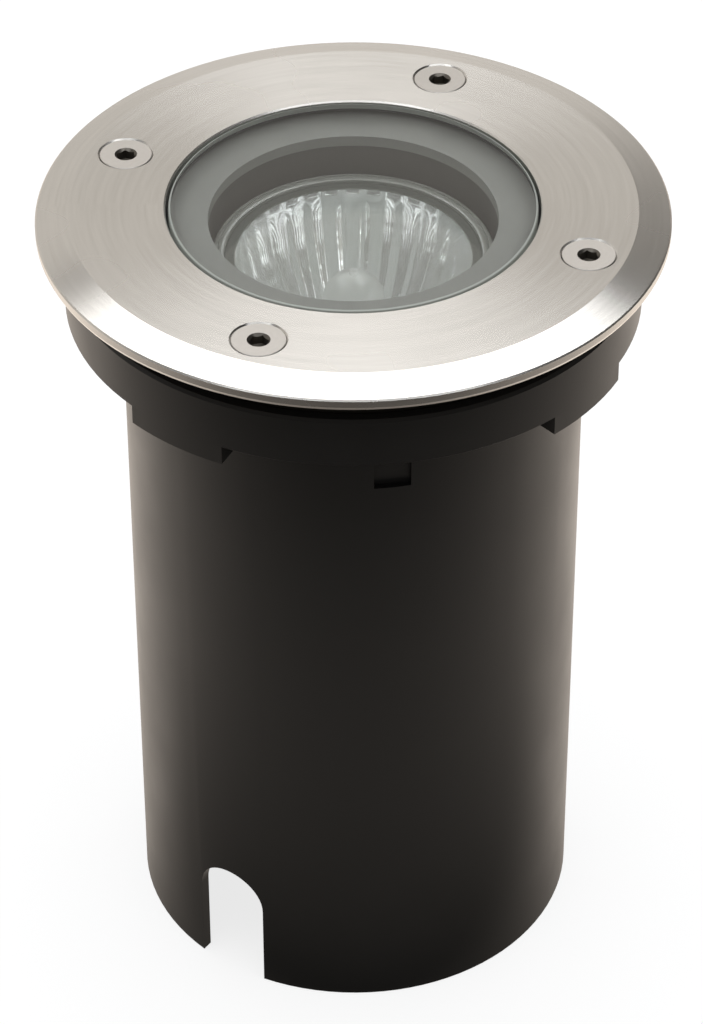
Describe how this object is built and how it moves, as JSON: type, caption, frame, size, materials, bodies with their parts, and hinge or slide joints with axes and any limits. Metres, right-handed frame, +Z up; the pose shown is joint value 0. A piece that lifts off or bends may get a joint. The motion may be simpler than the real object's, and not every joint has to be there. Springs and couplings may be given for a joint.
{
  "type": "in ground well light",
  "caption": "Round recessed ground light: steel bezel and stepped glass on a cast pot with a twist-lock reflector lamp, set in a plastic ground sleeve.",
  "frame": {"origin": "centre of the bottom rim of the sleeve", "axes": "+Z up along the axis of the light, out through the glass; +Y away from the viewer of the picture"},
  "size_m": [0.11, 0.11, 0.151],
  "materials": {
    "black_plastic": "satin black moulded plastic",
    "cast_black": "die-cast aluminium, matte black powder coat",
    "stainless": "turned stainless steel, fine circular grain",
    "screw_steel": "bright stainless steel",
    "clear_glass": "clear toughened glass with a faint green cast",
    "silicone_grey": "matte grey silicone",
    "seal_black": "matte black rubber",
    "reflector_glass": "fluted glass with a bright aluminium coat",
    "lamp_clear": "clear glass",
    "tungsten": "grey wire",
    "ceramic_white": "unglazed white ceramic",
    "nickel_pins": "nickel-plated metal",
    "contact_brass": "plain brass",
    "zinc_steel": "zinc-plated steel",
    "block_white": "white moulded plastic",
    "live_brown": "brown heat-resistant insulation",
    "neutral_blue": "blue heat-resistant insulation",
    "earth_green": "green heat-resistant insulation",
    "gland_plastic": "black moulded nylon"
  },
  "bodies": {
    "sleeve": {"mounting_sleeve": "black_plastic"},
    "luminaire": {"lamp_housing": "cast_black", "glass_gasket": "silicone_grey", "lamp_holder": "ceramic_white", "holder_contacts": "contact_brass", "holder_screws": "zinc_steel", "holder_bracket": "zinc_steel", "bracket_screws": "zinc_steel", "terminal_block": "block_white", "terminal_sleeves": "contact_brass", "terminal_screws": "zinc_steel", "terminal_fixing_screws": "zinc_steel", "live_lead": "live_brown", "neutral_lead": "neutral_blue", "earth_lead": "earth_green", "earth_terminal": "nickel_pins", "earth_screw": "zinc_steel", "cable_gland_body": "gland_plastic", "cable_gland_washer": "seal_black", "cable_gland_locknut": "gland_plastic", "cable_gland_seal": "seal_black", "cable_gland_nut": "gland_plastic"},
    "bezel": {"bezel_ring": "stainless", "bezel_seal": "seal_black", "front_glass": "clear_glass"},
    "screw_1": {"bezel_screw_1": "screw_steel"},
    "screw_2": {"bezel_screw_2": "screw_steel"},
    "screw_3": {"bezel_screw_3": "screw_steel"},
    "screw_4": {"bezel_screw_4": "screw_steel"},
    "lamp": {"lamp_reflector": "reflector_glass", "lamp_cover_glass": "lamp_clear", "lamp_capsule": "lamp_clear", "lamp_filament": "tungsten", "lamp_base": "ceramic_white", "lamp_pins": "nickel_pins"}
  },
  "joints": [
    {"name": "luminaire_lift", "type": "slide", "parent": "sleeve", "child": "luminaire", "axis": [0, 0, 1], "range_m": [0, 0.14]},
    {"name": "bezel_lift", "type": "slide", "parent": "luminaire", "child": "bezel", "axis": [0, 0, 1], "range_m": [0, 0.05]},
    {"name": "screw_1_out", "type": "slide", "parent": "bezel", "child": "screw_1", "axis": [0, 0, 1], "range_m": [0, 0.02]},
    {"name": "screw_2_out", "type": "slide", "parent": "bezel", "child": "screw_2", "axis": [0, 0, 1], "range_m": [0, 0.02]},
    {"name": "screw_3_out", "type": "slide", "parent": "bezel", "child": "screw_3", "axis": [0, 0, 1], "range_m": [0, 0.02]},
    {"name": "screw_4_out", "type": "slide", "parent": "bezel", "child": "screw_4", "axis": [0, 0, 1], "range_m": [0, 0.02]},
    {"name": "lamp_twist", "type": "hinge", "parent": "luminaire", "child": "lamp", "pos_m": [0, 0, 0.0911], "axis": [0, 0, 1], "range_deg": [0, 15]}
  ]
}
